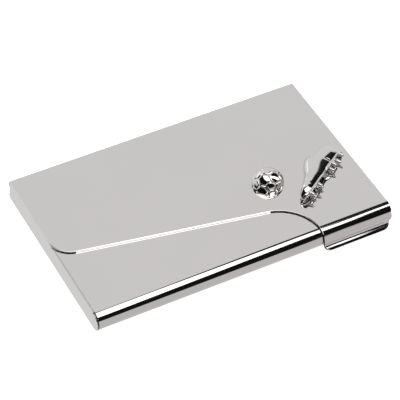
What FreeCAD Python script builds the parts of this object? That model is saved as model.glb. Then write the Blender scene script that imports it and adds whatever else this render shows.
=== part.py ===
# Business card case: a slim polished metal case with a back-hinged lid.
# Millimetres. +X is the length, the front is -Y, +Z is up.
# The origin is the centre of the flat bottom that the case rests on.
import FreeCAD, Part
import Sketcher
import math
import os

DIMENSIONS = {
    # outer sheet
    "half_length": 47.5,
    "back_face": 30.0,
    "sheet": 0.5,
    "back_bend": 1.0,
    "roll_centre": -26.65,
    "roll_radius": 3.15,
    "lid_gap": 0.1,
    "wall_top": 1.6,
    "cap_thickness": 0.6,
    "cap_back": 29.4,
    "cap_round": 0.4,
    # line of the lid's front edge, seen from above
    "edge_angle": 10.74,
    "edge_middle": -12.38,
    "edge_drop": 24.4,
    "edge_radius": 13.0,
    "edge_left_radius": 7.0,
    "flange_overlap": 7.0,
    "flange_strip": -24.6,
    "flange_back": 4.5,
    # thumb lip at the foot of the lid's wrap
    "flare_radius": 0.9,
    "flare_turn": 61.0,
    "flare_start": 2.55,
    "lip_reach": 0.4,
    "lip_radius": 2.0,
    "lip_turn": 25.0,
    "lip_right_corner": 6.9,
    "lip_right_drop": 6.0,
    "lip_left_corner": 1.85,
    "lip_left_drop": 1.8,
    # hinge
    "hinge_depth": 28.9,
    "hinge_height": 3.45,
    "barrel_radius": 1.1,
    "bore_radius": 0.625,
    "pin_radius": 0.575,
    "knuckle_count": 5,
    "knuckle_gap": 0.1,
    "barrel_half": 46.7,
    "leaf_sheet": 0.35,
    "leaf_bend": 0.5,
    "leaf_clear": 0.05,
    "leaf_foot": 26.3,
    "lid_flange_low": 4.6,
    "lid_leaf_low": 4.7,
    "neck_reach": 0.75,
    # card spring and its rivets
    "spring_depth": 6.0,
    "spring_width": 8.0,
    "spring_left": -30.0,
    "spring_foot": 6.0,
    "spring_right": 30.0,
    "spring_rise": 0.6,
    "spring_sheet": 0.25,
    "rivet_radius": 0.6,
    "rivet_head_radius": 1.1,
    "rivet_head": 0.3,
    "rivet_spacing": 4.4,
    "hole_radius": 0.62,
    # emblems and the push washers on their posts
    "ball_radius": 4.9,
    "ball_along": 19.7,
    "ball_depth": -4.9,
    "boot_along": 25.0,
    "boot_depth": -17.0,
    "boot_turn": 32.3,
    "boot_length": 22.5,
    "boot_relief": 3.6,
    "boot_sole": 1.0,
    "boot_round": 1.1,
    "stud_length": 1.3,
    "stud_radius": 0.65,
    "post_length": 0.95,
    "post_toe_along": 6.0,
    "post_toe_up": 2.2,
    "post_heel_along": 17.0,
    "post_heel_up": 3.2,
    "washer_radius": 1.5,
    "washer_sheet": 0.3,
}

# Heights that follow from the sizes above
BASE_TOP = "(2 * Dims.roll_radius)"
LID_UNDER = "(2 * Dims.roll_radius + Dims.lid_gap)"
LID_TOP = "(2 * Dims.roll_radius + Dims.lid_gap + Dims.sheet)"
WRAP_FRONT = "(Dims.roll_centre - Dims.roll_radius - Dims.lid_gap - Dims.sheet)"
FLARE_ANGLE = "(Dims.flare_turn * 1 deg)"
TIP_ANGLE = "((Dims.flare_turn - Dims.lip_turn) * 1 deg)"
LIP_FRONT = (
    "(%s - Dims.flare_radius * (1 - cos(%s)) - Dims.lip_reach * sin(%s)"
    " - Dims.lip_radius * (cos(%s) - cos(%s)))"
) % (WRAP_FRONT, FLARE_ANGLE, FLARE_ANGLE, TIP_ANGLE, FLARE_ANGLE)
LIP_LOW = (
    "(Dims.flare_start - Dims.flare_radius * sin(%s) - Dims.lip_reach * cos(%s)"
    " - Dims.lip_radius * (sin(%s) - sin(%s)))"
) % (FLARE_ANGLE, FLARE_ANGLE, FLARE_ANGLE, TIP_ANGLE)
BEYOND = 2.0

doc = FreeCAD.newDocument("CardCase")
sheet = doc.addObject("Spreadsheet::Sheet", "Dims")
for row, (alias, number) in enumerate(DIMENSIONS.items(), start=1):
    sheet.set("A%d" % row, alias)
    sheet.set("B%d" % row, str(number))
    sheet.setAlias("B%d" % row, alias)
doc.recompute()


def number(expression):
    """The value of a sheet expression, for a first position."""
    return float(sheet.evalExpression(str(expression).replace("Dims.", "")))


def new_body(label):
    body = doc.addObject("PartDesign::Body", label)
    body.Label = label
    return body


def origin_feature(body, role):
    return next(item for item in body.Origin.OriginFeatures if item.Role == role)


def new_sketch(body, name, role, offset=None):
    """A sketch on one of the body's own origin planes, moved along the plane's normal."""
    sketch = body.newObject("Sketcher::SketchObject", name)
    sketch.AttachmentSupport = [(origin_feature(body, role), "")]
    sketch.MapMode = "FlatFace"
    if offset is not None:
        sketch.setExpression("AttachmentOffset.Base.z", offset)
    doc.recompute()
    return sketch


def pin_to_sheet(sketch, geometry, end, point):
    """Tie one end of a curve to a pair of sheet expressions."""
    for kind, expression in zip(("DistanceX", "DistanceY"), point):
        index = sketch.addConstraint(Sketcher.Constraint(kind, -1, 1, geometry, end, number(expression)))
        sketch.setExpression("Constraints[%d]" % index, str(expression))


def arc_between(first, last, radius, turn):
    """The shorter arc from first to last; turn +1 runs anticlockwise, -1 clockwise."""
    chord = last - first
    middle = (first + last) * 0.5
    side = FreeCAD.Vector(-chord.y, chord.x, 0).normalize() * turn
    centre = middle + side * math.sqrt(max(radius ** 2 - (chord.Length / 2) ** 2, 0.0))
    start, end = (first, last) if turn > 0 else (last, first)
    circle = Part.Circle(centre, FreeCAD.Vector(0, 0, 1), radius)
    return Part.ArcOfCircle(
        circle,
        math.atan2(start.y - centre.y, start.x - centre.x),
        math.atan2(end.y - centre.y, end.x - centre.x),
    )


def trace(sketch, start, steps):
    """Draw a closed outline of lines and arcs whose corners all follow the sheet.

    A step is (across, up) for a line, or (across, up, radius, turn) for an arc.
    """
    corners = [start] + [step[:2] for step in steps]
    steps = list(steps) + [start]
    corners.append(start)
    ends = []
    for index, step in enumerate(steps):
        first = FreeCAD.Vector(number(corners[index][0]), number(corners[index][1]), 0)
        last = FreeCAD.Vector(number(corners[index + 1][0]), number(corners[index + 1][1]), 0)
        if len(step) == 2:
            geometry = sketch.addGeometry(Part.LineSegment(first, last))
            ends.append((geometry, 1, 2))
            continue
        radius, turn = step[2:]
        geometry = sketch.addGeometry(arc_between(first, last, number(radius), turn))
        ends.append((geometry, 1, 2) if turn > 0 else (geometry, 2, 1))
        constraint = sketch.addConstraint(Sketcher.Constraint("Radius", geometry, number(radius)))
        sketch.setExpression("Constraints[%d]" % constraint, str(radius))
    for index, (geometry, begin, finish) in enumerate(ends):
        following = ends[(index + 1) % len(ends)]
        sketch.addConstraint(Sketcher.Constraint("Coincident", geometry, finish, following[0], following[1]))
        pin_to_sheet(sketch, geometry, begin, corners[index])
    doc.recompute()


def trace_circle(sketch, across, up, radius):
    centre = FreeCAD.Vector(number(across), number(up), 0)
    circle = Part.Circle(centre, FreeCAD.Vector(0, 0, 1), number(radius))
    geometry = sketch.addGeometry(circle)
    pin_to_sheet(sketch, geometry, 3, (across, up))
    constraint = sketch.addConstraint(Sketcher.Constraint("Radius", geometry, number(radius)))
    sketch.setExpression("Constraints[%d]" % constraint, str(radius))


def pad(body, sketch, name, length, symmetric=False):
    feature = body.newObject("PartDesign::Pad", name)
    feature.Profile = sketch
    feature.setExpression("Length", length)
    if symmetric:
        feature.SideType = "Symmetric"
    doc.recompute()
    return feature


def pocket(body, sketch, name, upward=True):
    """Cut everything above (or below) the sketch and prove that metal went."""
    before = body.Shape.Volume
    feature = body.newObject("PartDesign::Pocket", name)
    feature.Profile = sketch
    feature.Type = "ThroughAll"
    feature.Reversed = upward
    doc.recompute()
    if not body.Shape.Volume < before - 1e-4:
        raise RuntimeError("%s cuts nothing" % name)
    return feature


def revolve(body, sketch, name):
    feature = body.newObject("PartDesign::Revolution", name)
    feature.Profile = sketch
    feature.ReferenceAxis = (sketch, ["V_Axis"])
    feature.Angle = 360
    doc.recompute()
    return feature


# The lid's front edge: a straight slanting run, with a round corner at each end.
def edge_corner(radius, along):
    """Centre of the round that meets the slanting run; negative radius lies in front of it."""
    depth = "(Dims.edge_middle - %s * tan(Dims.edge_angle * 1 deg) + %s / cos(Dims.edge_angle * 1 deg))"
    return depth % (along, radius)


RIGHT_CENTRE = "(Dims.edge_drop - Dims.edge_radius)"
RIGHT_DEPTH = edge_corner("-Dims.edge_radius", RIGHT_CENTRE)
LEFT_CENTRE = "(-Dims.half_length + Dims.edge_left_radius)"
LEFT_DEPTH = edge_corner("Dims.edge_left_radius", LEFT_CENTRE)


def along_normal(centre, depth, distance):
    """The point at a distance behind (or before) a centre, square to the slanting run."""
    return (
        "%s + %s * sin(Dims.edge_angle * 1 deg)" % (centre, distance),
        "%s + %s * cos(Dims.edge_angle * 1 deg)" % (depth, distance),
    )


def make_base_shell():
    """One sheet: pocket flange, full front roll, bottom and low back wall."""
    body = new_body("base_shell")
    profile = new_sketch(body, "base_profile", "YZ_Plane")
    roll = "Dims.roll_radius"
    inner = "Dims.roll_radius - Dims.sheet"
    trace(profile, ("Dims.flange_back", BASE_TOP), [
        ("Dims.roll_centre", BASE_TOP),
        ("Dims.roll_centre - Dims.roll_radius", roll, roll, 1),
        ("Dims.roll_centre", "0", roll, 1),
        ("Dims.back_face - Dims.back_bend", "0"),
        ("Dims.back_face", "Dims.back_bend", "Dims.back_bend", 1),
        ("Dims.back_face", "Dims.wall_top"),
        ("Dims.back_face - Dims.sheet", "Dims.wall_top"),
        ("Dims.back_face - Dims.sheet", "Dims.back_bend"),
        ("Dims.back_face - Dims.back_bend", "Dims.sheet", "Dims.back_bend - Dims.sheet", -1),
        ("Dims.roll_centre", "Dims.sheet"),
        ("Dims.roll_centre - Dims.roll_radius + Dims.sheet", roll, inner, -1),
        ("Dims.roll_centre", BASE_TOP + " - Dims.sheet", inner, -1),
        ("Dims.flange_back", BASE_TOP + " - Dims.sheet"),
    ])
    pad(body, profile, "base_sheet", "2 * (Dims.half_length - Dims.cap_thickness)", symmetric=True)

    outline = new_sketch(body, "flange_outline", "XY_Plane", roll)
    reach = "(Dims.edge_radius + Dims.flange_overlap)"
    rise = "(Dims.flange_strip - %s)" % RIGHT_DEPTH
    left = "-Dims.half_length - %s" % BEYOND
    right = "Dims.half_length + %s" % BEYOND
    behind = "Dims.flange_back + %s" % BEYOND
    slope = "tan(Dims.edge_angle * 1 deg)"
    overlap = "Dims.flange_overlap / cos(Dims.edge_angle * 1 deg)"
    left_depth = "Dims.edge_middle - (%s) * %s + %s" % (left, slope, overlap)
    arc_end = "%s + sqrt(%s * %s - %s * %s)" % (RIGHT_CENTRE, reach, reach, rise, rise)
    trace(outline, (left, left_depth), [
        along_normal(RIGHT_CENTRE, RIGHT_DEPTH, reach),
        (arc_end, "Dims.flange_strip", reach, -1),
        (right, "Dims.flange_strip"),
        (right, behind),
        (left, behind),
    ])
    pocket(body, outline, "flange_cut")

    holes = new_sketch(body, "rivet_holes", "XY_Plane", roll)
    for side in (-1, 1):
        trace_circle(holes, *rivet_place(side), "Dims.hole_radius")
    pocket(body, holes, "rivet_hole_cut", upward=False)
    return body


def make_end_cap(label, offset):
    """A flat end plate with the case's full outer profile."""
    body = new_body(label)
    profile = new_sketch(body, label + "_profile", "YZ_Plane", offset)
    trace(profile, ("Dims.cap_back", BASE_TOP + " - Dims.cap_round"), [
        ("Dims.cap_back - Dims.cap_round", BASE_TOP, "Dims.cap_round", 1),
        ("Dims.roll_centre", BASE_TOP),
        ("Dims.roll_centre - Dims.roll_radius", "Dims.roll_radius", "Dims.roll_radius", 1),
        ("Dims.roll_centre", "0", "Dims.roll_radius", 1),
        ("Dims.back_face - Dims.back_bend", "0"),
        ("Dims.back_face", "Dims.back_bend", "Dims.back_bend", 1),
        ("Dims.back_face", "Dims.wall_top"),
        ("Dims.cap_back", "Dims.wall_top"),
    ])
    pad(body, profile, label + "_plate", "Dims.cap_thickness")
    return body


def make_lid_shell():
    """One sheet: back flange, top, and at the right the wrap that ends in the thumb lip."""
    body = new_body("lid_shell")
    profile = new_sketch(body, "lid_profile", "YZ_Plane")
    outer = "Dims.roll_radius + Dims.lid_gap + Dims.sheet"
    inner = "Dims.roll_radius + Dims.lid_gap"
    bend_in = "Dims.back_bend - Dims.sheet"
    flare_centre = "(%s - Dims.flare_radius)" % WRAP_FRONT
    far = "(Dims.flare_radius + Dims.sheet)"

    def on_flare(radius, reach="0"):
        """A point on the flare's end, or further out along the straight lip."""
        across = "%s + %s * cos(%s) - %s * sin(%s)" % (flare_centre, radius, FLARE_ANGLE, reach, FLARE_ANGLE)
        up = "Dims.flare_start - %s * sin(%s) - %s * cos(%s)" % (radius, FLARE_ANGLE, reach, FLARE_ANGLE)
        return across, up

    def on_tip(depth):
        """A point on the lip's end, this far under the outer face."""
        across = "%s + %s * cos(%s)" % (LIP_FRONT, depth, TIP_ANGLE)
        up = "%s - %s * sin(%s)" % (LIP_LOW, depth, TIP_ANGLE)
        return across, up

    trace(profile, ("Dims.back_face", "Dims.lid_flange_low"), [
        ("Dims.back_face", LID_TOP + " - Dims.back_bend"),
        ("Dims.back_face - Dims.back_bend", LID_TOP, "Dims.back_bend", 1),
        ("Dims.roll_centre", LID_TOP),
        (WRAP_FRONT, "Dims.roll_radius", outer, 1),
        (WRAP_FRONT, "Dims.flare_start"),
        on_flare("Dims.flare_radius") + ("Dims.flare_radius", -1),
        on_flare("Dims.flare_radius", "Dims.lip_reach"),
        on_tip("0") + ("Dims.lip_radius", 1),
        on_tip("Dims.sheet"),
        on_flare(far, "Dims.lip_reach") + ("Dims.lip_radius - Dims.sheet", -1),
        on_flare(far),
        (WRAP_FRONT + " + Dims.sheet", "Dims.flare_start", far, 1),
        (WRAP_FRONT + " + Dims.sheet", "Dims.roll_radius"),
        ("Dims.roll_centre", LID_UNDER, inner, -1),
        ("Dims.back_face - Dims.back_bend", LID_UNDER),
        ("Dims.back_face - Dims.sheet", LID_TOP + " - Dims.back_bend", bend_in, -1),
        ("Dims.back_face - Dims.sheet", "Dims.lid_flange_low"),
    ])
    pad(body, profile, "lid_sheet", "2 * Dims.half_length", symmetric=True)

    front = LIP_FRONT + " - %s" % BEYOND
    left = "-Dims.half_length - %s" % BEYOND
    outline = new_sketch(body, "lid_outline", "XY_Plane")
    trace(outline, (left, LEFT_DEPTH), [
        ("-Dims.half_length", LEFT_DEPTH),
        along_normal(LEFT_CENTRE, LEFT_DEPTH, "-Dims.edge_left_radius") + ("Dims.edge_left_radius", 1),
        along_normal(RIGHT_CENTRE, RIGHT_DEPTH, "Dims.edge_radius"),
        ("Dims.edge_drop", RIGHT_DEPTH, "Dims.edge_radius", -1),
        ("Dims.edge_drop", front),
        (left, front),
    ])
    pocket(body, outline, "lid_front_cut")

    corners = new_sketch(body, "lip_corners", "XZ_Plane", "-Dims.roll_centre")
    for name, edge, side in (("right", "Dims.half_length", 1), ("left", "Dims.edge_drop", -1)):
        radius = "Dims.lip_%s_corner" % name
        drop = "Dims.lip_%s_drop" % name
        inset = "%s - %d * (%s - sqrt(%s * %s - %s * %s))" % (edge, side, radius, radius, radius, drop, drop)
        high = LIP_LOW + " + " + drop
        low = LIP_LOW + " - %s" % BEYOND
        aside = "%s + %d * %s" % (edge, side, BEYOND)
        trace(corners, (edge, high), [
            (inset, LIP_LOW, radius, -side),
            (inset, low),
            (aside, low),
            (aside, high),
        ])
    pocket(body, corners, "lip_corner_cut")

    holes = new_sketch(body, "post_holes", "XY_Plane", "Dims.roll_radius")
    for place in (("Dims.ball_along", "Dims.ball_depth"), boot_point("toe"), boot_point("heel")):
        trace_circle(holes, *place, "Dims.hole_radius")
    pocket(body, holes, "post_hole_cut")
    return body


def make_hinge_leaf(label, lid):
    """An L-shaped leaf with rolled knuckles on every other stretch of the hinge line."""
    body = new_body(label)
    profile = new_sketch(body, label + "_profile", "YZ_Plane")
    face = LID_UNDER if lid else "Dims.sheet"
    sign = "-1" if lid else "1"
    turn = -1 if lid else 1
    leg_end = "Dims.lid_leaf_low" if lid else "Dims.wall_top"
    back = "(Dims.back_face - Dims.sheet - Dims.leaf_clear)"
    bend_top = "%s + %s * Dims.leaf_bend" % (face, sign)
    inner = "(Dims.leaf_bend - Dims.leaf_sheet)"
    trace(profile, ("Dims.leaf_foot", face), [
        (back + " - Dims.leaf_bend", face),
        (back, bend_top, "Dims.leaf_bend", turn),
        (back, leg_end),
        (back + " - Dims.leaf_sheet", leg_end),
        (back + " - Dims.leaf_sheet", bend_top),
        (back + " - Dims.leaf_bend", "%s + %s * Dims.leaf_sheet" % (face, sign), inner, -turn),
        ("Dims.leaf_foot", "%s + %s * Dims.leaf_sheet" % (face, sign)),
    ])
    pad(body, profile, label + "_plate", "2 * Dims.barrel_half", symmetric=True)

    pitch = "(2 * Dims.barrel_half / Dims.knuckle_count)"
    first = "-Dims.barrel_half + %s + Dims.knuckle_gap / 2" % (pitch if lid else "0 * " + pitch)
    knuckle = new_sketch(body, label + "_knuckle", "YZ_Plane", first)
    trace_circle(knuckle, "Dims.hinge_depth", "Dims.hinge_height", "Dims.barrel_radius")
    trace_circle(knuckle, "Dims.hinge_depth", "Dims.hinge_height", "Dims.bore_radius")
    barrel = pad(body, knuckle, label + "_barrel", pitch + " - Dims.knuckle_gap")

    neck = new_sketch(body, label + "_neck", "YZ_Plane", first)
    reach = "Dims.hinge_height - %s * Dims.neck_reach" % sign
    trace(neck, (back, leg_end), [
        (back, reach),
        (back + " - Dims.leaf_sheet", reach),
        (back + " - Dims.leaf_sheet", leg_end),
    ])
    link = pad(body, neck, label + "_link", pitch + " - Dims.knuckle_gap")

    pattern = body.newObject("PartDesign::LinearPattern", label + "_knuckles")
    pattern.Originals = [barrel, link]
    pattern.Direction = (origin_feature(body, "X_Axis"), [""])
    count = int(number("Dims.knuckle_count"))
    pattern.Occurrences = count // 2 if lid else count - count // 2
    pattern.setExpression("Length", "2 * %s * %d" % (pitch, pattern.Occurrences - 1))
    body.Tip = pattern
    doc.recompute()
    return body


def make_hinge_pin():
    pin = doc.addObject("Part::Cylinder", "hinge_pin")
    pin.Label = "hinge_pin"
    pin.setExpression("Radius", "Dims.pin_radius")
    pin.setExpression("Height", "2 * Dims.barrel_half")
    pin.Placement.Rotation = FreeCAD.Rotation(FreeCAD.Vector(0, 1, 0), 90)
    pin.setExpression("Placement.Base.x", "-Dims.barrel_half")
    pin.setExpression("Placement.Base.y", "Dims.hinge_depth")
    pin.setExpression("Placement.Base.z", "Dims.hinge_height")
    return pin


def rivet_place(side):
    """Where a spring rivet stands, in front of or behind the spring's centre line."""
    return (
        "Dims.spring_left + Dims.spring_foot / 2",
        "Dims.spring_depth + %d * Dims.rivet_spacing / 2" % side,
    )


def make_card_spring():
    """A bowed leaf on the floor of the case that lifts the cards against the flange."""
    body = new_body("card_spring")
    profile = new_sketch(body, "spring_profile", "XZ_Plane")
    bow_start = "(Dims.spring_left + Dims.spring_foot)"
    half_bow = "((Dims.spring_right - %s) / 2)" % bow_start
    rise = "Dims.spring_rise"
    radius = "(%s * %s + %s * %s) / (2 * %s)" % (half_bow, half_bow, rise, rise, rise)
    top = "Dims.sheet + Dims.spring_sheet"
    trace(profile, ("Dims.spring_left", "Dims.sheet"), [
        (bow_start, "Dims.sheet"),
        ("Dims.spring_right", "Dims.sheet", radius, -1),
        ("Dims.spring_right", top),
        (bow_start, top, radius, 1),
        ("Dims.spring_left", top),
    ])
    pad(body, profile, "spring_leaf", "Dims.spring_width", symmetric=True)
    body.setExpression("Placement.Base.y", "Dims.spring_depth")
    holes = new_sketch(body, "spring_holes", "XY_Plane")
    for side in (-1, 1):
        across = rivet_place(side)[0]
        trace_circle(holes, across, "%d * Dims.rivet_spacing / 2" % side, "Dims.hole_radius")
    pocket(body, holes, "spring_hole_cut")
    return body


def make_spring_rivet(label, side):
    """A rivet flush with the bottom of the case, with a flat head over the spring."""
    body = new_body(label)
    profile = new_sketch(body, label + "_profile", "XZ_Plane")
    grip = "Dims.sheet + Dims.spring_sheet"
    trace(profile, ("0", "0"), [
        ("Dims.rivet_radius", "0"),
        ("Dims.rivet_radius", grip),
        ("Dims.rivet_head_radius", grip),
        ("Dims.rivet_head_radius", grip + " + Dims.rivet_head"),
        ("0", grip + " + Dims.rivet_head"),
    ])
    revolve(body, profile, label + "_turned")
    across, depth = rivet_place(side)
    body.setExpression("Placement.Base.x", across)
    body.setExpression("Placement.Base.y", depth)
    return body


def make_ball_emblem():
    """A football cast as a half ball, with the post that holds it to the lid."""
    body = new_body("ball_emblem")
    profile = new_sketch(body, "ball_profile", "XZ_Plane")
    trace(profile, ("0", "-Dims.post_length"), [
        ("Dims.rivet_radius", "-Dims.post_length"),
        ("Dims.rivet_radius", "0"),
        ("Dims.ball_radius", "0"),
        ("0", "Dims.ball_radius", "Dims.ball_radius", 1),
    ])
    revolve(body, profile, "ball_turned")
    body.setExpression("Placement.Base.x", "Dims.ball_along")
    body.setExpression("Placement.Base.y", "Dims.ball_depth")
    body.setExpression("Placement.Base.z", LID_TOP)
    return body


def boot_point(name):
    """Where a boot post passes through the lid, in the case's own frame."""
    along = "Dims.post_%s_along" % name
    up = "Dims.post_%s_up" % name
    cosine = "cos(Dims.boot_turn * 1 deg)"
    sine = "sin(Dims.boot_turn * 1 deg)"
    return (
        "Dims.boot_along + %s * %s - %s * %s" % (along, cosine, up, sine),
        "Dims.boot_depth + %s * %s + %s * %s" % (along, sine, up, cosine),
    )


def make_boot_emblem():
    """A studded football boot in side relief; its own x runs from toe to heel along the sole."""
    body = new_body("boot_emblem")
    length = "Dims.boot_length"
    side = new_sketch(body, "boot_side", "XY_Plane")
    trace(side, ("0.02 * " + length, "-0.2 * Dims.boot_sole"), [
        ("0.20 * " + length, "-Dims.boot_sole", "0.3 * " + length, 1),
        ("0.42 * " + length, "-0.7 * Dims.boot_sole"),
        ("0.62 * " + length, "-0.4 * Dims.boot_sole"),
        (length, "-0.6 * Dims.boot_sole"),
        ("1.02 * " + length, "0.14 * " + length, "0.4 * " + length, -1),
        ("0.97 * " + length, "0.29 * " + length),
        ("0.82 * " + length, "0.25 * " + length, "0.14 * " + length, -1),
        ("0.66 * " + length, "0.35 * " + length),
        ("0.58 * " + length, "0.34 * " + length),
        ("0.38 * " + length, "0.20 * " + length, "0.6 * " + length, -1),
        ("0.02 * " + length, "0.07 * " + length, "0.42 * " + length, 1),
    ])
    relief = pad(body, side, "boot_block", "Dims.boot_relief")
    rounded = body.newObject("PartDesign::Fillet", "boot_rounding")
    top = number("Dims.boot_relief")
    edges = [
        "Edge%d" % (index + 1)
        for index, edge in enumerate(relief.Shape.Edges)
        if all(abs(vertex.Z - top) < 1e-6 for vertex in edge.Vertexes)
        and edge.CenterOfMass.y > 0
    ]
    rounded.Base = (relief, edges)
    rounded.setExpression("Radius", "Dims.boot_round")
    doc.recompute()

    studs = new_sketch(body, "boot_studs", "XZ_Plane")
    for share in (0.15, 0.34, 0.71, 0.89):
        trace_circle(studs, "%s * %s" % (share, length), "0.72 * Dims.boot_relief", "Dims.stud_radius")
        trace_circle(studs, "%s * %s" % (share, length), "0.24 * Dims.boot_relief", "Dims.stud_radius")
    pad(body, studs, "boot_stud_pads", "Dims.boot_sole * 0.6 + Dims.stud_length")

    posts = new_sketch(body, "boot_posts", "XY_Plane")
    for name in ("toe", "heel"):
        trace_circle(posts, "Dims.post_%s_along" % name, "Dims.post_%s_up" % name, "Dims.rivet_radius")
    post_pad = pad(body, posts, "boot_post_pads", "Dims.post_length")
    post_pad.Reversed = True
    body.Placement.Rotation = FreeCAD.Rotation(FreeCAD.Vector(0, 0, 1), number("Dims.boot_turn"))
    body.setExpression("Placement.Base.x", "Dims.boot_along")
    body.setExpression("Placement.Base.y", "Dims.boot_depth")
    body.setExpression("Placement.Base.z", LID_TOP)
    return body


def make_washer(label, place):
    """A push washer on an emblem's post, against the inside of the lid."""
    body = new_body(label)
    rings = new_sketch(body, label + "_rings", "XY_Plane")
    trace_circle(rings, "0", "0", "Dims.washer_radius")
    trace_circle(rings, "0", "0", "Dims.hole_radius")
    pad(body, rings, label + "_disc", "Dims.washer_sheet")
    body.setExpression("Placement.Base.x", place[0])
    body.setExpression("Placement.Base.y", place[1])
    body.setExpression("Placement.Base.z", LID_UNDER + " - Dims.washer_sheet")
    return body


pieces = [
    make_base_shell(),
    make_end_cap("left_end_cap", "-Dims.half_length"),
    make_end_cap("right_end_cap", "Dims.half_length - Dims.cap_thickness"),
    make_hinge_leaf("base_hinge_leaf", lid=False),
    make_hinge_pin(),
    make_card_spring(),
    make_spring_rivet("spring_rivet_front", -1),
    make_spring_rivet("spring_rivet_back", 1),
    make_lid_shell(),
    make_hinge_leaf("lid_hinge_leaf", lid=True),
    make_ball_emblem(),
    make_boot_emblem(),
    make_washer("ball_washer", ("Dims.ball_along", "Dims.ball_depth")),
    make_washer("boot_toe_washer", boot_point("toe")),
    make_washer("boot_heel_washer", boot_point("heel")),
]

doc.recompute()
for item in doc.Objects:
    if "Invalid" in item.State or "Error" in item.State:
        raise RuntimeError("%s failed: %s" % (item.Label, item.State))
os.makedirs("parts", exist_ok=True)
for piece in pieces:
    if piece.Shape.isNull() or not piece.Shape.isValid():
        raise RuntimeError("%s has no valid shape" % piece.Label)
    piece.Shape.exportStep("parts/%s.step" % piece.Label)
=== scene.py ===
# Polished business card case: visible meshes, materials, floor, light and camera.
# Metres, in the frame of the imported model. Sizes here are in millimetres times MM.
import math
import bpy
import bmesh
from mathutils import Matrix, Vector


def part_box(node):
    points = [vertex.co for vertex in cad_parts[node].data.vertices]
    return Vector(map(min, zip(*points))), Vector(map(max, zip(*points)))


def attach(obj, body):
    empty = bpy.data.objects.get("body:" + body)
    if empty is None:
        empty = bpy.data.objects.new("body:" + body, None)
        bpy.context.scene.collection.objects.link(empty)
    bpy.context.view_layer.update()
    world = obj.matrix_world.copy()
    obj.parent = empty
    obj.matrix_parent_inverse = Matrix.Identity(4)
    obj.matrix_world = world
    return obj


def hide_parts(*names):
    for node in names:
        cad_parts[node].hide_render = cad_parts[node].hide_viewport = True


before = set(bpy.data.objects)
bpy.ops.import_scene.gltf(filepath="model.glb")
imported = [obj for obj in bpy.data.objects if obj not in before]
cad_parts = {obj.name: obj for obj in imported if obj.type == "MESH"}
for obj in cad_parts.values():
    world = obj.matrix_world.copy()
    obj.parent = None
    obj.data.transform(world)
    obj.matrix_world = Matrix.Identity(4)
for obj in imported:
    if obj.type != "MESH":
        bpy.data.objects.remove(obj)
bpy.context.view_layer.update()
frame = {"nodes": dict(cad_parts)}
MM = 0.001

# ---------------------------------------------------------------- sizes read from the frame
lid_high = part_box("lid_shell")[1]
base_low, base_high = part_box("base_shell")
ball_low, ball_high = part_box("ball_emblem")

SHEET = 0.5 * MM
HALF = lid_high.x
BASE_HALF = base_high.x
BACK = base_high.y
BASE_TOP = base_high.z
LID_TOP = lid_high.z
ROLL = BASE_TOP / 2
ROLL_CENTRE = base_low.y + ROLL
LID_ROLL = LID_TOP - ROLL
WRAP_FRONT = ROLL_CENTRE - LID_ROLL
BEND = 1.0 * MM
WALL_TOP = 1.6 * MM
LID_FLANGE_LOW = 4.6 * MM
CAP_SHEET = HALF - BASE_HALF
CAP_GROOVE = 0.16 * MM
CAP_SEAM = 0.36 * MM

# the lid's front edge in plan
EDGE_ANGLE = math.radians(10.74)
EDGE_MIDDLE = -12.38 * MM
EDGE_DROP = 24.4 * MM
EDGE_RADIUS = 13.0 * MM
EDGE_LEFT_RADIUS = 7.0 * MM
FLANGE_OVERLAP = 7.0 * MM
FLANGE_STRIP = -24.6 * MM
FLANGE_BACK = 4.5 * MM

# the thumb lip, from its tip up to the wrap's wall: a soft roll, a straight run and a flare
FLARE_START = 2.55 * MM
FLARE_RADIUS = 0.9 * MM
FLARE_TURN = math.radians(61.0)
LIP_STRAIGHT = 0.4 * MM
LIP_RADIUS = 2.0 * MM
LIP_TURN = math.radians(25.0)
LIP_LEFT_CORNER = (1.5 * MM, 2.5 * MM)
LIP_RIGHT_CORNER = (3.3 * MM, 8.2 * MM)


# ---------------------------------------------------------------- bent sheet
class BentPath:
    """The outer face of a bent sheet, seen from the end: runs of constant curvature.

    A run is (length, turn): turn 0 is straight, a negative turn bends clockwise.
    """

    def __init__(self, start, heading, runs):
        self.runs = []
        point = Vector(start)
        travelled = 0.0
        for length, turn in runs:
            self.runs.append((travelled, length, turn, point.copy(), heading))
            point = self.place(length, length, turn, point, heading)[0]
            heading += turn
            travelled += length
        self.length = travelled

    @staticmethod
    def place(distance, length, turn, point, heading):
        """Point and heading after a distance along one run."""
        if abs(turn) < 1e-9:
            step = Vector((math.cos(heading), math.sin(heading))) * distance
            return point + step, heading
        radius = length / turn
        angle = heading + distance / radius
        centre = point + Vector((-math.sin(heading), math.cos(heading))) * radius
        return centre + Vector((math.sin(angle), -math.cos(angle))) * radius, angle

    def at(self, distance):
        """Point, outward normal and direction of travel, as (y, z) vectors."""
        run = self.runs[0]
        for candidate in self.runs:
            if distance >= candidate[0]:
                run = candidate
        point, heading = self.place(distance - run[0], *run[1:])
        travel = Vector((math.cos(heading), math.sin(heading)))
        return point, Vector((-travel.y, travel.x)), travel

    def steps(self, spacing):
        """Distances that follow every bend closely and mark where each run starts."""
        marks = []
        for start, length, turn, _, _ in self.runs:
            count = max(1, math.ceil(abs(turn) / spacing))
            marks.extend(start + length * index / count for index in range(count))
        return marks + [self.length]


def oval_points(centre, radii, first, last, count):
    """Points on a flat oval; angles in radians."""
    return [
        (
            centre[0] + radii[0] * math.cos(first + (last - first) * index / count),
            centre[1] + radii[1] * math.sin(first + (last - first) * index / count),
        )
        for index in range(count + 1)
    ]


def arc_points(centre, radius, first, last, count):
    return oval_points(centre, (radius, radius), first, last, count)


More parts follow.
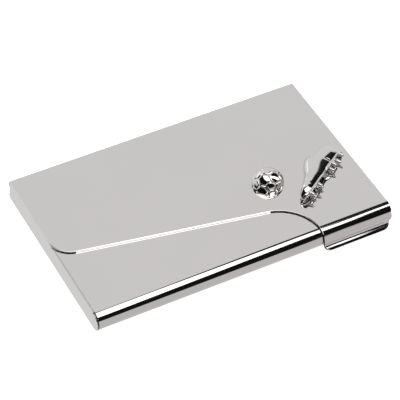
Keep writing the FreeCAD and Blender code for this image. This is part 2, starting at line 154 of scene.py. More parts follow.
def crossing(outline, level):
    """The x at which an outline, given with rising distances, passes a level."""
    for (x0, s0), (x1, s1) in zip(outline, outline[1:]):
        if s0 - 1e-12 <= level <= s1 + 1e-12:
            if s1 - s0 < 1e-12:
                return x1
            return x0 + (x1 - x0) * (level - s0) / (s1 - s0)
    return outline[-1][0]


def matched(left, right, extra):
    """Give two outlines the same rows: every distance that either names, and the extra ones."""
    first = max(left[0][1], right[0][1])
    last = min(left[-1][1], right[-1][1])
    levels = sorted({round(s, 9) for _, s in left + right} | {round(s, 9) for s in extra})
    levels = [s for s in levels if first - 1e-9 <= s <= last + 1e-9]
    kept = levels[:1]
    for level in levels[1:]:
        if level - kept[-1] > 2e-6:
            kept.append(level)
    return [(crossing(left, s), s) for s in kept], [(crossing(right, s), s) for s in kept]


def bent_sheet(name, path, left, right, columns, edge, burr=0.03 * MM):
    """A closed sheet of metal: edges softly broken outside, nearly sharp inside, and exact normals."""
    rows = len(left)
    grid = [
        [
            (
                left[i][0] + (right[i][0] - left[i][0]) * j / columns,
                left[i][1] + (right[i][1] - left[i][1]) * j / columns,
            )
            for j in range(columns + 1)
        ]
        for i in range(rows)
    ]
    border = [(i, 0) for i in range(rows)]
    border += [(rows - 1, j) for j in range(1, columns + 1)]
    border += [(i, columns) for i in range(rows - 2, -1, -1)]
    border += [(0, j) for j in range(columns - 1, 0, -1)]
    flat = [grid[i][j] for i, j in border]
    count = len(flat)
    outward = []
    for k in range(count):
        before = Vector(flat[k - 1])
        here = Vector(flat[k])
        after = Vector(flat[(k + 1) % count])
        first = (here - before).normalized()
        second = (after - here).normalized()
        along = (first + second).normalized()
        outward.append(Vector((-along.y, along.x)))
    if sum(a[0] * b[1] - b[0] * a[1] for a, b in zip(flat, flat[1:] + flat[:1])) > 0:
        outward = [-o for o in outward]

    points = []
    normals = []

    def add(x, s, depth, side=0.0, facing=1.0, away=None):
        point, up, travel = path.at(min(max(s, 0.0), path.length))
        if s < 0.0:
            point = point + travel * s
        if s > path.length:
            point = point + travel * (s - path.length)
        place = point - up * depth
        points.append(Vector((x, place.x, place.y)))
        normal = Vector((0.0, up.x, up.y)) * facing
        if away is not None:
            rim = Vector((away.x, travel.x * away.y, travel.y * away.y))
            normal = normal + rim * side
        normals.append(normal.normalized())
        return len(points) - 1

    ring = [(edge * (1 - math.sin(a)), edge * (1 - math.cos(a)), math.sin(a), math.cos(a)) for a in SOFT_TURN]
    ring += [
        (burr * (1 - math.sin(a)), SHEET - burr * (1 - math.cos(a)), math.sin(a), -math.cos(a))
        for a in reversed(SOFT_TURN)
    ]
    rings = []
    for inset, depth, side, facing in ring:
        loop = []
        for (x, s), away in zip(flat, outward):
            loop.append(add(x - away.x * inset, s - away.y * inset, depth, side, facing, away))
        rings.append(loop)
    faces = []
    for upper, lower in zip(rings, rings[1:]):
        for k in range(count):
            after = (k + 1) % count
            faces.append((upper[k], upper[after], lower[after], lower[k]))

    spot = {place: k for k, place in enumerate(border)}
    for loop, depth, facing in ((rings[0], 0.0, 1.0), (rings[-1], SHEET, -1.0)):
        index = {}
        for i in range(rows):
            for j in range(columns + 1):
                if (i, j) in spot:
                    index[i, j] = loop[spot[i, j]]
                else:
                    index[i, j] = add(*grid[i][j], depth, facing=facing)
        for i in range(rows - 1):
            for j in range(columns):
                faces.append((index[i, j], index[i, j + 1], index[i + 1, j + 1], index[i + 1, j]))
    return smooth_mesh(name, points, faces, normals)


def smooth_mesh(name, points, faces, normals=None):
    """A smooth-shaded object whose faces all look outward."""
    mesh = bpy.data.meshes.new(name)
    mesh.from_pydata([tuple(p) for p in points], [], faces)
    mesh.validate()
    work = bmesh.new()
    work.from_mesh(mesh)
    bmesh.ops.recalc_face_normals(work, faces=work.faces)
    work.to_mesh(mesh)
    work.free()
    mesh.shade_smooth()
    if normals is not None and len(normals) == len(mesh.vertices):
        mesh.normals_split_custom_set_from_vertices([tuple(n) for n in normals])
    piece = bpy.data.objects.new(name, mesh)
    bpy.context.scene.collection.objects.link(piece)
    return piece


# ---------------------------------------------------------------- lid
RIGHT_CENTRE = (
    EDGE_DROP - EDGE_RADIUS,
    EDGE_MIDDLE - (EDGE_DROP - EDGE_RADIUS) * math.tan(EDGE_ANGLE) - EDGE_RADIUS / math.cos(EDGE_ANGLE),
)
LEFT_CENTRE = (
    -HALF + EDGE_LEFT_RADIUS,
    EDGE_MIDDLE + (HALF - EDGE_LEFT_RADIUS) * math.tan(EDGE_ANGLE) + EDGE_LEFT_RADIUS / math.cos(EDGE_ANGLE),
)
ROLL_STEP = math.radians(2.5)
SOFT_TURN = [math.radians(a) for a in (0, 22.5, 45, 67.5, 90)]


def build_lid():
    lip_heading = FLARE_TURN - LIP_TURN
    tip = (
        WRAP_FRONT - FLARE_RADIUS * (1 - math.cos(FLARE_TURN)) - LIP_STRAIGHT * math.sin(FLARE_TURN)
        - LIP_RADIUS * (math.cos(lip_heading) - math.cos(FLARE_TURN)),
        FLARE_START - FLARE_RADIUS * math.sin(FLARE_TURN) - LIP_STRAIGHT * math.cos(FLARE_TURN)
        - LIP_RADIUS * (math.sin(FLARE_TURN) - math.sin(lip_heading)),
    )
    wrap = [
        (LIP_RADIUS * LIP_TURN, -LIP_TURN),
        (LIP_STRAIGHT, 0.0),
        (FLARE_RADIUS * FLARE_TURN, FLARE_TURN),
        (ROLL - FLARE_START, 0.0),
        (LID_ROLL * math.pi / 2, -math.pi / 2),
    ]
    path = BentPath(tip, math.pi / 2 - lip_heading, wrap + [
        (BACK - BEND - ROLL_CENTRE, 0.0),
        (BEND * math.pi / 2, -math.pi / 2),
        (LID_TOP - BEND - LID_FLANGE_LOW, 0.0),
    ])
    to_top = sum(length for length, turn in wrap)

    def unrolled(depth):
        """Distance along the sheet of a plan position behind the roll."""
        return to_top + depth - ROLL_CENTRE

    # The round of the edge runs on over the roll until it meets the straight drop.
    arc = arc_points(RIGHT_CENTRE, EDGE_RADIUS, 0.0, math.pi / 2 - EDGE_ANGLE, 48)
    left_arc = arc_points(LEFT_CENTRE, EDGE_LEFT_RADIUS, -math.pi / 2 - EDGE_ANGLE, -math.pi, 28)
    small = 0.3 * MM
    total = path.length
    across, along = LIP_LEFT_CORNER
    left = [
        (EDGE_DROP + x, s)
        for x, s in oval_points((across, along), LIP_LEFT_CORNER, -math.pi / 2, -math.pi, 14)
    ]
    left += [(x, unrolled(y)) for x, y in arc if y > ROLL_CENTRE]
    left += [(x, unrolled(y)) for x, y in left_arc]
    left += [(-HALF + x, total + s) for x, s in arc_points((small, -small), small, math.pi, math.pi / 2, 5)]
    across, along = LIP_RIGHT_CORNER
    right = [
        (HALF + x, s)
        for x, s in oval_points((-across, along), LIP_RIGHT_CORNER, -math.pi / 2, 0.0, 24)
    ]
    right += [(HALF + x, total + s) for x, s in arc_points((-small, -small), small, 0.0, math.pi / 2, 5)]
    left, right = matched(left, right, path.steps(ROLL_STEP))
    piece = bent_sheet("lid_polished_shell", path, left, right, columns=30, edge=0.28 * MM)
    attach(piece, "lid")
    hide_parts("lid_shell")
    return piece


def build_base():
    path = BentPath((BACK, WALL_TOP), -math.pi / 2, [
        (WALL_TOP - BEND, 0.0),
        (BEND * math.pi / 2, -math.pi / 2),
        (BACK - BEND - ROLL_CENTRE, 0.0),
        (ROLL * math.pi, -math.pi),
        (FLANGE_BACK - ROLL_CENTRE, 0.0),
    ])
    to_flange = path.length - (FLANGE_BACK - ROLL_CENTRE)

    def unrolled(depth):
        return to_flange + depth - ROLL_CENTRE

    reach = EDGE_RADIUS + FLANGE_OVERLAP
    slant = -math.tan(EDGE_ANGLE)
    behind = EDGE_MIDDLE + FLANGE_OVERLAP / math.cos(EDGE_ANGLE)
    start = math.asin((FLANGE_STRIP - RIGHT_CENTRE[1]) / reach)
    arc = arc_points(RIGHT_CENTRE, reach, start, math.pi / 2 - EDGE_ANGLE, 24)
    corner = 2.5 * MM
    corner_x = -BASE_HALF + corner
    corner_centre = (corner_x, behind + slant * corner_x - corner / math.cos(EDGE_ANGLE))
    small = 0.3 * MM
    right = [(BASE_HALF + x, s) for x, s in arc_points((-small, small), small, -math.pi / 2, 0.0, 5)]
    right += [(BASE_HALF, unrolled(FLANGE_STRIP - 0.3 * MM))]
    right += [(x, unrolled(y)) for x, y in arc]
    top = math.pi / 2
    right += [(x, unrolled(y)) for x, y in arc_points(corner_centre, corner, top - EDGE_ANGLE, top - 0.01, 6)]
    left = [(-BASE_HALF + x, s) for x, s in arc_points((small, small), small, -math.pi / 2, -math.pi, 5)]
    left += [(x, unrolled(y)) for x, y in arc_points(corner_centre, corner, math.pi, top + 0.01, 14)]
    left, right = matched(left, right, path.steps(ROLL_STEP))
    piece = bent_sheet("base_polished_shell", path, left, right, columns=30, edge=0.14 * MM)
    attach(piece, "case")
    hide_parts("base_shell")
    return piece


# ---------------------------------------------------------------- end caps
def build_cap(name, outer):
    """A flat plate with the full outer profile and a softly broken outer edge; outer is its sign in x."""
    node = "left_end_cap" if outer < 0 else "right_end_cap"
    low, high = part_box(node)
    cap_back = 29.4 * MM
    cap_round = 0.4 * MM
    edge = 0.26 * MM
    profile = arc_points((ROLL_CENTRE, ROLL), ROLL, math.pi / 2, 3 * math.pi / 2, 72)
    profile += arc_points((BACK - BEND, BEND), BEND, -math.pi / 2, 0.0, 16)
    profile += [(BACK, WALL_TOP), (cap_back, WALL_TOP)]
    profile += arc_points((cap_back - cap_round, BASE_TOP - cap_round), cap_round, 0.0, math.pi / 2, 8)
    count = len(profile)
    away = []
    for k in range(count):
        first = (Vector(profile[k]) - Vector(profile[k - 1])).normalized()
        second = (Vector(profile[(k + 1) % count]) - Vector(profile[k])).normalized()
        along = (first + second).normalized()
        away.append(Vector((along.y, -along.x)))
    face_x, back_x = (low.x, high.x) if outer < 0 else (high.x, low.x)
    inward = 1.0 if outer < 0 else -1.0
    points = []
    normals = []

    def ring(x, inset, facing, side):
        """The profile at x, drawn in by inset; its normals mix facing along x with side across it."""
        first = len(points)
        for (y, z), out in zip(profile, away):
            points.append(Vector((x, y - out.x * inset, z - out.y * inset)))
            normals.append(Vector((facing, out.x * side, out.y * side)).normalized())
        return range(first, first + count)

    rings = [
        ring(
            face_x + inward * edge * (1 - math.cos(a)), edge * (1 - math.sin(a)),
            -inward * math.cos(a), math.sin(a),
        )
        for a in SOFT_TURN
    ]
    rings += [ring(back_x - inward * depth, 0.0, 0.0, 1.0) for depth in (CAP_SEAM, CAP_GROOVE)]
    # the joint with the shell is a small groove all round
    rings += [ring(back_x - inward * CAP_GROOVE, 0.0, inward, 1.0), ring(back_x, CAP_GROOVE, inward, 1.0)]
    rear = ring(back_x, CAP_GROOVE, inward, 0.0)
    faces = [tuple(rings[0])]
    for upper, lower in zip(rings, rings[1:]):
        for k in range(count):
            after = (k + 1) % count
            faces.append((upper[k], upper[after], lower[after], lower[k]))
    faces.append(tuple(rear))
    piece = smooth_mesh(name, points, faces, normals)
    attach(piece, "case")
    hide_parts(node)
    return piece


# ---------------------------------------------------------------- football
# a ball of 12 pentagons and 20 hexagons whose edges are 1 long: from its centre to each
PENTAGON_PLANE = 2.3274
HEXAGON_PLANE = 2.2673
PANEL_CORNER = 2.4780
BALL_SPIN = math.radians(24)
BALL_TILT = math.radians(-38)


def panel_axes():
    """Directions of the ball's panels with the distance of each panel's plane."""
    golden = (1 + math.sqrt(5)) / 2
    pentagons = []
    for a in (-1, 1):
        for b in (-golden, golden):
            pentagons += [Vector((0, a, b)), Vector((a, b, 0)), Vector((b, 0, a))]
    hexagons = [Vector((a, b, c)) for a in (-1, 1) for b in (-1, 1) for c in (-1, 1)]
    for a in (-1 / golden, 1 / golden):
        for b in (-golden, golden):
            hexagons += [Vector((0, a, b)), Vector((a, b, 0)), Vector((b, 0, a))]
    turn = Matrix.Rotation(BALL_SPIN, 3, "Z") @ Matrix.Rotation(BALL_TILT, 3, "X")
    axes = [(turn @ p.normalized(), PENTAGON_PLANE) for p in pentagons]
    # The dodecahedron's corners lie over the icosahedron's faces once x and y change places.
    axes += [(turn @ Vector((h.y, h.x, h.z)).normalized(), HEXAGON_PLANE) for h in hexagons]
    return axes


def add_turned(work, profile, place, axis, sides=20):
    """Add a closed turned form; the profile is (radius, distance along the axis)."""
    axis = axis.normalized()
    first = axis.orthogonal().normalized()
    second = axis.cross(first)
    loops = []
    for radius, distance in profile:
        centre = place + axis * distance
        if radius < 1e-9:
            loops.append([work.verts.new(centre)])
            continue
        loops.append([
            work.verts.new(centre + (first * math.cos(a) + second * math.sin(a)) * radius)
            for a in (2 * math.pi * k / sides for k in range(sides))
        ])
    for low, high in zip(loops, loops[1:]):
        for k in range(sides):
            after = (k + 1) % sides
            corners = [low[k % len(low)], low[after % len(low)], high[after % len(high)], high[k % len(high)]]
            unique = list(dict.fromkeys(corners))
            if len(unique) > 2:
                work.faces.new(unique)
    for loop in (loops[0], loops[-1]):
        if len(loop) > 2:
            work.faces.new(loop)


def add_post(work, place):
    """The post under an emblem that passes through the lid."""
    radius = 0.6 * MM
    depth = LID_TOP - ball_low.z
    soft = 0.1 * MM
    sunk = 0.2 * MM
    profile = [(radius, sunk), (radius, soft - depth), (radius - soft, -depth)]
    add_turned(work, profile, place, Vector((0, 0, 1)))


def finish_casting(name, work, node):
    """Turn a bmesh into a piece on the lid that stands for a CAD emblem."""
    bmesh.ops.recalc_face_normals(work, faces=work.faces)
    mesh = bpy.data.meshes.new(name)
    work.to_mesh(mesh)
    work.free()
    mesh.shade_smooth()
    piece = bpy.data.objects.new(name, mesh)
    bpy.context.scene.collection.objects.link(piece)
    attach(piece, "lid")
    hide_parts(node)
    return piece


def build_ball():
    """A half ball of pentagon and hexagon panels, each a little flatter than the ball, with sunk seams."""
    radius = (ball_high.x - ball_low.x) / 2
    centre = Vector(((ball_low.x + ball_high.x) / 2, (ball_low.y + ball_high.y) / 2, LID_TOP))
    axes = panel_axes()
    flatness = 0.45
    seam_width = 0.085
    seam_depth = 0.055
    work = bmesh.new()
    bmesh.ops.create_icosphere(work, subdivisions=7, radius=1.0)
    bmesh.ops.bisect_plane(
        work,
        geom=work.verts[:] + work.edges[:] + work.faces[:],
        plane_co=(0, 0, 0),
        plane_no=(0, 0, 1),
        clear_inner=True,
    )
    for vertex in work.verts:
        direction = vertex.co.normalized()
        values = sorted(((direction.dot(axis) / plane, plane) for axis, plane in axes), reverse=True)
        facet = 1 / (values[0][0] * PANEL_CORNER)
        seam = min((values[0][0] - values[1][0]) * PANEL_CORNER / seam_width, 1.0)
        drop = seam_depth * (1 - math.sin(seam * math.pi / 2))
        vertex.co = direction * min(1.0, (1 - flatness) + flatness * facet - drop)
    rim = [e for e in work.edges if e.is_boundary]
    bmesh.ops.edgeloop_fill(work, edges=rim)
    bmesh.ops.transform(work, matrix=Matrix.Translation(centre) @ Matrix.Scale(radius, 4), verts=work.verts)
    add_post(work, centre)
    return finish_casting("football_half", work, "ball_emblem")


# ---------------------------------------------------------------- football boot
BOOT_ORIGIN = Vector((25.0 * MM, -17.0 * MM, LID_TOP))
BOOT_TURN = math.radians(32.3)
BOOT_RELIEF = 3.6 * MM
BOOT_AXES = Matrix.Translation(BOOT_ORIGIN) @ Matrix.Rotation(BOOT_TURN, 4, "Z")
# The boot is worked out in millimetres: x from toe to heel along the sole, y up the boot, z off the lid.
BOOT_UPPER_HEIGHT = BOOT_RELIEF / MM * 0.94
BOOT_SEAM_DEPTH = 0.12
# its welt sits this far outside the sole line
BOOT_WELT = 0.45
BOOT_TOP_LINE = [(0.0, 0.3), (1.2, 2.0), (4.5, 3.3), (9.1, 4.9), (12.0, 6.6), (14.6, 7.8), (16.4, 7.5),
                 (19.0, 6.3), (21.8, 6.3), (23.2, 5.4)]
BOOT_SOLE_LINE = [(-0.2, 0.7), (2.0, -0.1), (5.0, -0.5), (9.5, -0.3), (13.5, 0.2), (17.5, -0.1), (23.2, 0.1)]


def along_line(points, where):
    """Height of a smooth line through given points (Catmull-Rom between them)."""
    last = len(points) - 1
    where = min(max(where, points[0][0]), points[last][0])
    index = max(k for k in range(last) if points[k][0] <= where or k == 0)
    x0, y0 = points[index]
    x1, y1 = points[index + 1]
    before = points[max(index - 1, 0)]
    after = points[min(index + 2, last)]
    share = (where - x0) / (x1 - x0)
    slope0 = (y1 - before[1]) / max(x1 - before[0], 1e-9) * (x1 - x0)
    slope1 = (after[1] - y0) / max(after[0] - x0, 1e-9) * (x1 - x0)
    square = share * share
    cube = square * share
    return (
        (2 * cube - 3 * square + 1) * y0 + (cube - 2 * square + share) * slope0
        + (3 * square - 2 * cube) * y1 + (cube - square) * slope1
    )


def ease(value, low, high):
    share = min(max((value - low) / (high - low), 0.0), 1.0)
    return share * share * (3 - 2 * share)


def boot_relief(along, up):
    """Height of the upper above the lid, in millimetres, at a place on its side."""
    low = along_line(BOOT_SOLE_LINE, along)
    high = along_line(BOOT_TOP_LINE, along)
    share = min(max((up - low) / (high - low), 0.0), 1.0)
    # full height in the middle, falling away over the toe and round the heel and the top line
    toe = math.sin(ease(along, -0.4, 5.5) * math.pi / 2) ** 0.6
    heel = math.sqrt(max(1 - max((along - 20.2) / 3.3, 0.0) ** 2, 0.0))
    crown = max(1 - share ** 8, 0.0) ** 0.5 * (0.86 + 0.14 * math.sin(min(share, 0.5) * math.pi))
    height = BOOT_UPPER_HEIGHT * toe * (0.25 + 0.75 * heel) * crown
    # the ankle opening is a sunk oval
    collar = math.hypot((along - 18.2) / 3.3, (up - 6.4) / 1.0)
    height *= 1 - 0.45 * (1 - ease(collar, 0.55, 1.0))
    # two sewn seams: an oval one round the heel and a slanted one behind the toe
    heel_seam = math.hypot((along - 20.4) / 3.4, (up - 1.6) / 3.6)
    height -= BOOT_SEAM_DEPTH * (1 - ease(abs(heel_seam - 1.0), 0.03, 0.09)) * heel
    toe_seam = along - 5.4 - 0.25 * up
    height -= BOOT_SEAM_DEPTH * (1 - ease(abs(toe_seam), 0.08, 0.26))
    return max(height, 0.0)


def add_boot_upper(work):
    """The boot's side as a relief, closed underneath; rows crowd at toe and heel, columns at the top."""
    rows, columns = 90, 44
    toe_end, length = -0.1, 23.3
    grid = []
    for i in range(rows + 1):
        along = toe_end + length * (1 - math.cos(math.pi * i / rows)) / 2
        low = along_line(BOOT_SOLE_LINE, along)
        high = along_line(BOOT_TOP_LINE, along)
        line = []
        for j in range(columns + 1):
            up = low + (high - low) * math.sin(j / columns * math.pi / 2)
            line.append(work.verts.new((along * MM, up * MM, boot_relief(along, up) * MM)))
        grid.append(line)
    floor = [[work.verts.new((v.co.x, v.co.y, 0.0)) for v in line] for line in grid]
    for i in range(rows):
        for j in range(columns):
            for sheet in (grid, floor):
                work.faces.new((sheet[i][j], sheet[i + 1][j], sheet[i + 1][j + 1], sheet[i][j + 1]))
        for j in (0, columns):
            work.faces.new((grid[i][j], grid[i + 1][j], floor[i + 1][j], floor[i][j]))
    for i in (0, rows):
        for j in range(columns):
            work.faces.new((grid[i][j], grid[i][j + 1], floor[i][j + 1], floor[i][j]))


def add_boot_sole(work):
    """A plate along the sole whose face looks away from the boot; it narrows at the waist."""
    rows = 70
    toe_end, length = -0.3, 23.8
    thick = 0.75
    soft = 0.22
    loops = []
    for i in range(rows + 1):
        share = i / rows
        along = toe_end + length * share
        outside = along_line(BOOT_SOLE_LINE, along) - BOOT_WELT
        waist = 0.8 * math.exp(-((along - 12.6) / 2.6) ** 2)
        ends = math.sqrt(max(1 - abs(2 * share - 1) ** 9, 0.02))
        width = (BOOT_RELIEF / MM - 0.15 - waist) * ends
        section = [(outside, 0.0)]
        section += arc_points((outside + soft, width - soft), soft, math.pi, math.pi / 2, 5)
        section += arc_points((outside + thick - soft, width - soft), soft, math.pi / 2, 0.0, 5)
        section += [(outside + thick, 0.0)]
        loops.append([work.verts.new((along * MM, v * MM, w * MM)) for v, w in section])
    count = len(loops[0])
    for low, high in zip(loops, loops[1:]):
        for k in range(count):
            after = (k + 1) % count
            work.faces.new((low[k], low[after], high[after], high[k]))
    work.faces.new(loops[0])
    work.faces.new(loops[-1])


def add_boot_studs(work):
    """Two rows of tapered studs with round tips and a low collar each."""
    profile = [(0.80, -0.2), (0.80, 0.06), (0.62, 0.16), (0.55, 0.60), (0.46, 1.00), (0.40, 1.20),
               (0.30, 1.32), (0.16, 1.39), (0.0, 1.41)]
    profile = [(radius * MM, distance * MM) for radius, distance in profile]
    rows = ((0.90, (3.6, 8.0, 15.9, 19.9)), (2.55, (2.7, 7.0, 16.7, 21.3)))
    for height, places in rows:
        for along in places:
            outside = along_line(BOOT_SOLE_LINE, along) - BOOT_WELT
            add_turned(work, profile, Vector((along, outside, height)) * MM, Vector((0, -1, 0)))


def add_boot_laces(work):
    """Short round bars across the instep."""
    radius = 0.09
    for k in range(5):
        along = 8.6 + 1.25 * k
        high = along_line(BOOT_TOP_LINE, along)
        ends = [(along + 0.9, high - 1.75), (along, high - 0.35)]
        places = [Vector((u, v, boot_relief(u, v) - 0.03)) * MM for u, v in ends]
        axis = places[1] - places[0]
        length = axis.length
        tip = radius * MM
        shoulder = 0.7 * tip
        profile = [(0.0, -tip), (shoulder, -shoulder), (tip, 0.0)]
        profile += [(tip, length), (shoulder, length + shoulder), (0.0, length + tip)]
        add_turned(work, profile, places[0], axis, sides=10)


def build_boot():
    work = bmesh.new()
    add_boot_upper(work)
    add_boot_sole(work)
    add_boot_studs(work)
    add_boot_laces(work)
    for along, up in ((6.0, 2.2), (17.0, 3.2)):
        add_post(work, Vector((along, up, 0.0)) * MM)
    bmesh.ops.transform(work, matrix=BOOT_AXES, verts=work.verts)
    return finish_casting("football_boot", work, "boot_emblem")


# ---------------------------------------------------------------- materials
def node_material(name):
    material = bpy.data.materials.new(name)
    material.use_nodes = True
    nodes = material.node_tree.nodes
    links = material.node_tree.links
    shader = nodes["Principled BSDF"]
    return material, nodes, links, shader


def polished_metal(name, colour, roughness, smudge, scratch):
    """Mirror plate: faint polishing lines and smudges in an even bright metal."""
    material, nodes, links, shader = node_material(name)
    shader.inputs["Metallic"].default_value = 1.0
    shader.inputs["Specular Tint"].default_value = (1.0, 1.0, 1.0, 1.0)
    coordinates = nodes.new("ShaderNodeTexCoord")
    cloud = nodes.new("ShaderNodeTexNoise")
    cloud.inputs["Scale"].default_value = 45.0
    cloud.inputs["Detail"].default_value = 4.0
    links.new(coordinates.outputs["Object"], cloud.inputs["Vector"])
    wear = nodes.new("ShaderNodeMapRange")
    wear.inputs["From Min"].default_value = 0.35
    wear.inputs["From Max"].default_value = 0.75
    wear.inputs["To Min"].default_value = roughness
    wear.inputs["To Max"].default_value = roughness + smudge
    links.new(cloud.outputs["Fac"], wear.inputs["Value"])
    links.new(wear.outputs["Result"], shader.inputs["Roughness"])
    tint = nodes.new("ShaderNodeMix")
    tint.data_type = "RGBA"
    tint.inputs["A"].default_value = (*colour, 1.0)
    tint.inputs["B"].default_value = (*(c * 0.97 for c in colour), 1.0)
    links.new(cloud.outputs["Fac"], tint.inputs["Factor"])
    links.new(tint.outputs["Result"], shader.inputs["Base Color"])
    stretch = nodes.new("ShaderNodeMapping")
    stretch.inputs["Scale"].default_value = (160.0, 9000.0, 9000.0)
    links.new(coordinates.outputs["Object"], stretch.inputs["Vector"])
    lines = nodes.new("ShaderNodeTexNoise")
    lines.inputs["Scale"].default_value = 1.0
    lines.inputs["Detail"].default_value = 2.0
    links.new(stretch.outputs["Vector"], lines.inputs["Vector"])
    bump = nodes.new("ShaderNodeBump")
    bump.inputs["Strength"].default_value = scratch
    bump.inputs["Distance"].default_value = 0.00001
    links.new(lines.outputs["Fac"], bump.inputs["Height"])
    links.new(bump.outputs["Normal"], shader.inputs["Normal"])
    return material


def give(piece, material):
    piece.data.materials.clear()
    piece.data.materials.append(material)


def give_where(piece, material, chosen):
    """Add a second material on the faces that chosen(centre, normal) picks."""
    piece.data.materials.append(material)
    for face in piece.data.polygons:
        if chosen(face.center, face.normal):
            face.material_index = 1


def on_drop_edge(centre, normal):
    """The lid's raw edge where it drops over the front roll, painted near-black as the shade in the gap
    there.
    """
    near = abs(centre.x - EDGE_DROP) < 0.6 * MM
    over_roll = centre.y < ROLL_CENTRE + 0.8 * MM
    return near and over_roll and normal.x < -0.2


def on_roll_seam(centre, normal):
    """The joint between an end cap and the front roll, painted near-black as the shade in the gap there."""
    depth = HALF - abs(centre.x)
    round_roll = centre.y < ROLL_CENTRE + 0.4 * MM
    return round_roll and depth > CAP_SHEET - CAP_SEAM and abs(normal.x) < 0.99


# ---------------------------------------------------------------- studio
def make_floor():
    """A pale seamless sweep, lit well past white; the metal mirrors the studio instead of it."""
    mesh = bpy.data.meshes.new("floor")
    size = 3.0
    corners = [(-size, -size, 0), (size, -size, 0), (size, size, 0), (-size, size, 0)]
    mesh.from_pydata(corners, [], [(0, 1, 2, 3)])
    floor = bpy.data.objects.new("floor", mesh)
    bpy.context.scene.collection.objects.link(floor)
    material, nodes, links, shader = node_material("pale_floor")
    shader.inputs["Base Color"].default_value = (0.93, 0.93, 0.93, 1.0)
    shader.inputs["Roughness"].default_value = 0.9
    shader.inputs["Specular IOR Level"].default_value = 0.0
    shader.inputs["Emission Color"].default_value = (1.0, 1.0, 1.0, 1.0)
    shader.inputs["Emission Strength"].default_value = 0.75
    give(floor, material)
    floor.visible_glossy = False


class Sky:
    """Small helper that writes the studio's light as a function of direction."""

    def __init__(self, world):
        self.nodes = world.node_tree.nodes
        self.links = world.node_tree.links

    def math(self, operation, *values):
        node = self.nodes.new("ShaderNodeMath")
        node.operation = operation
        for socket, value in zip(node.inputs, values):
            if isinstance(value, (int, float)):
                socket.default_value = value
            else:
                self.links.new(value, socket)
        return node.outputs[0]

    def ramp(self, value, low, high, first=0.0, last=1.0, shape="SMOOTHSTEP"):
        """first below low, last above high; low may be the larger of the two."""
        node = self.nodes.new("ShaderNodeMapRange")
        node.interpolation_type = shape
        self.links.new(value, node.inputs["Value"])
        settings = (("From Min", low), ("From Max", high), ("To Min", first), ("To Max", last))
        for name, number in settings:
            node.inputs[name].default_value = number
        return node.outputs["Result"]

    def past(self, value, border, softness):
        """0 below a border that may itself vary, 1 above it."""
        return self.ramp(self.math("SUBTRACT", value, border), -softness, softness)

    def both(self, *shares):
        result = shares[0]
        for share in shares[1:]:
            result = self.math("MULTIPLY", result, share)
        return result

    def window(self, azimuth, azimuths, elevation, elevations):
        """1 inside a soft-edged patch; each of its four borders is (where it starts, where it is full)."""
        borders = [self.ramp(azimuth, *border) for border in azimuths]
        borders += [self.ramp(elevation, *border) for border in elevations]
        return self.both(*borders)

    def blend(self, share, first, second):
        """first where share is 0, second where it is 1."""
        step = self.math("SUBTRACT", second, first)
        return self.math("MULTIPLY_ADD", share, step, first)


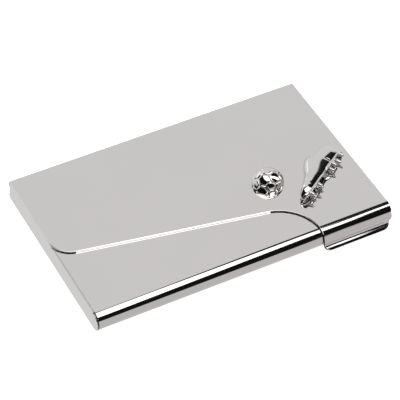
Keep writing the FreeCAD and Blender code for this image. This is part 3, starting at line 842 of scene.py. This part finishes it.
def make_world():
    """Softboxes and black flags round the case, told by direction alone."""
    world = bpy.data.worlds.new("studio")
    world.use_nodes = True
    bpy.context.scene.world = world
    sky = Sky(world)
    coordinates = sky.nodes.new("ShaderNodeTexCoord")
    split = sky.nodes.new("ShaderNodeSeparateXYZ")
    sky.links.new(coordinates.outputs["Generated"], split.inputs[0])
    x, y, z = split.outputs
    degrees = 180 / math.pi
    forward = sky.math("MULTIPLY", y, -1.0)
    azimuth = sky.math("MULTIPLY", sky.math("ARCTAN2", x, forward), degrees)
    elevation = sky.math("MULTIPLY", sky.math("ARCSINE", z), degrees)
    # angle in the plane across the case: 0 is straight back, 90 is up, 180 is straight front
    across = sky.math("MULTIPLY", sky.math("ARCTAN2", z, y), degrees)

    backdrop = 0.91
    gap = 0.02
    box = 2.4
    rear_box = 1.35
    strip_light = 4.5
    dark = 0.008
    front = 0.72
    cap_side = 0.88
    # the long boxes and flags aren't quite parallel to the case, so their borders drift with x
    # the roll mirrors x below 0.38, and the lid's wrap mirrors x above it
    on_wrap = sky.ramp(x, 0.380, 0.386)
    lip_end = sky.ramp(x, 0.3985, 0.4025)
    gap_start = sky.math("ADD", sky.ramp(x, 0.30, 0.36, 66.0, 57.0, "LINEAR"), on_wrap)
    gap_end = sky.ramp(x, 0.30, 0.375, 74.0, 78.0, "LINEAR")
    gap_end = sky.math("MULTIPLY_ADD", on_wrap, 13.0, gap_end)
    box_end = sky.ramp(x, 0.288, 0.380, 124.5, 108.5, "LINEAR")
    box_end = sky.math("MULTIPLY_ADD", on_wrap, 3.5, box_end)
    box_end = sky.math("MULTIPLY_ADD", lip_end, -6.5, box_end)
    flag_end = sky.ramp(x, 0.288, 0.380, 168.5, 166.0, "LINEAR")
    flag_end = sky.math("MULTIPLY_ADD", on_wrap, -9.0, flag_end)
    flag_end = sky.math("MULTIPLY_ADD", lip_end, 4.0, flag_end)
    level = sky.blend(sky.past(across, gap_start, 1.0), backdrop, gap)
    level = sky.blend(sky.past(across, gap_end, 1.0), level, box)
    level = sky.blend(sky.past(across, box_end, 1.2), level, dark)
    level = sky.blend(sky.past(across, flag_end, 1.5), level, front)
    # patches laid over one another in this order: brightness, borders in azimuth and in elevation
    patches = (
        # a black flag on the left and a low and a high box behind it
        (dark, ((0.0, -2.0), (-166.0, -163.0)), ((62.0, 58.0), (10.0, 13.0))),
        (rear_box, ((-124.0, -127.0), (-176.0, -172.0)), ((4.0, 8.0), (37.0, 35.0))),
        (rear_box, ((-151.0, -154.0), (-176.0, -172.0)), ((34.0, 36.0), (57.0, 54.0))),
        # a black flag on the right with a narrow light in it, which the boot's sole mirrors
        (dark, ((55.0, 62.0), (128.0, 120.0)), ((62.0, 58.0), (12.0, 16.0))),
        (strip_light, ((68.0, 70.0), (80.0, 78.0)), ((14.0, 18.0), (66.0, 62.0))),
        # a strip light in front, seen in the lid's cut edge
        (strip_light, ((-1.0, 1.0), (18.0, 15.0)), ((34.0, 37.0), (60.0, 57.0))),
    )
    for brightness, azimuths, elevations in patches:
        patch = sky.window(azimuth, azimuths, elevation, elevations)
        level = sky.blend(patch, level, brightness)
    # below the horizon the pale sweep shows: greyer in front, paler behind
    sweep = sky.ramp(y, -0.15, 0.15, front, cap_side)
    level = sky.blend(sky.ramp(z, 0.0, -0.03), level, sweep)
    background = sky.nodes["Background"]
    sky.links.new(level, background.inputs["Strength"])
    tint = sky.nodes.new("ShaderNodeMix")
    tint.data_type = "RGBA"
    tint.inputs["A"].default_value = (1.0, 0.995, 0.99, 1.0)
    tint.inputs["B"].default_value = (1.0, 0.945, 0.965, 1.0)
    sky.links.new(sky.both(sky.ramp(y, -0.6, -0.9), sky.ramp(x, 0.30, 0.40)), tint.inputs["Factor"])
    sky.links.new(tint.outputs["Result"], background.inputs["Color"])


def make_lamp():
    """Soft overhead light for the floor alone: polished metal does not mirror it."""
    light = bpy.data.lights.new("overhead", "AREA")
    light.shape = "DISK"
    light.size = 1.6
    light.energy = 9.0
    lamp = bpy.data.objects.new("overhead", light)
    lamp.location = (0.0, 0.0, 1.3)
    lamp.visible_glossy = False
    bpy.context.scene.collection.objects.link(lamp)


def make_camera():
    azimuth = math.radians(-28.95)
    elevation = math.radians(45.78)
    roll = math.radians(1.695)
    distance = 615.1 * MM
    aim = Vector((0.0, 0.0, LID_TOP / 2))
    shift_right = 0.043 * MM
    shift_up = 0.657 * MM
    back = Vector((
        math.sin(azimuth) * math.cos(elevation),
        -math.cos(azimuth) * math.cos(elevation),
        math.sin(elevation),
    ))
    level = (-back).cross(Vector((0, 0, 1))).normalized()
    upright = level.cross(-back)
    right = level * math.cos(roll) + upright * math.sin(roll)
    up = upright * math.cos(roll) - level * math.sin(roll)
    data = bpy.data.cameras.new("camera")
    data.sensor_width = 36.0
    data.lens = 189.9
    data.clip_start = 0.01
    data.clip_end = 20.0
    camera = bpy.data.objects.new("camera", data)
    turn = Matrix((right, up, back)).transposed().to_4x4()
    place = aim + back * distance + right * shift_right + up * shift_up
    camera.matrix_world = Matrix.Translation(place) @ turn
    bpy.context.scene.collection.objects.link(camera)
    bpy.context.scene.camera = camera


# ---------------------------------------------------------------- the scene
plate = polished_metal("polished_plate", (0.640, 0.625, 0.620), 0.035, 0.03, 0.02)
cap_plate = polished_metal("polished_cap_plate", (0.630, 0.620, 0.615), 0.04, 0.03, 0.02)
# painted shade: a near-black metal laid on the lid's drop edge and the caps' seams against the roll, standing
# in for the shadow in the gaps there
painted_shade_metal = polished_metal("painted_shade_edge", (0.030, 0.028, 0.030), 0.30, 0.15, 0.3)
cast = polished_metal("plated_casting", (0.66, 0.65, 0.64), 0.05, 0.04, 0.05)
steel = polished_metal("drawn_steel", (0.45, 0.45, 0.46), 0.22, 0.10, 0.3)
spring = polished_metal("spring_steel", (0.42, 0.42, 0.43), 0.28, 0.10, 0.3)

lid = build_lid()
give(lid, plate)
# painted shade: the lid's drop edge gets the near-black metal
give_where(lid, painted_shade_metal, on_drop_edge)
give(build_base(), plate)
for name, outer in (("left_cap_plate", -1), ("right_cap_plate", 1)):
    cap = build_cap(name, outer)
    give(cap, cap_plate)
    # painted shade: the cap's seam against the roll gets the near-black metal
    give_where(cap, painted_shade_metal, on_roll_seam)
give(build_ball(), cast)
give(build_boot(), cast)
nodes = frame["nodes"]
for name in ("base_hinge_leaf", "lid_hinge_leaf", "hinge_pin", "spring_rivet_front", "spring_rivet_back"):
    give(nodes[name], steel)
for name in ("card_spring", "ball_washer", "boot_toe_washer", "boot_heel_washer"):
    give(nodes[name], spring)

make_floor()
make_world()
make_lamp()
make_camera()
bpy.context.scene.view_settings.view_transform = "Standard"
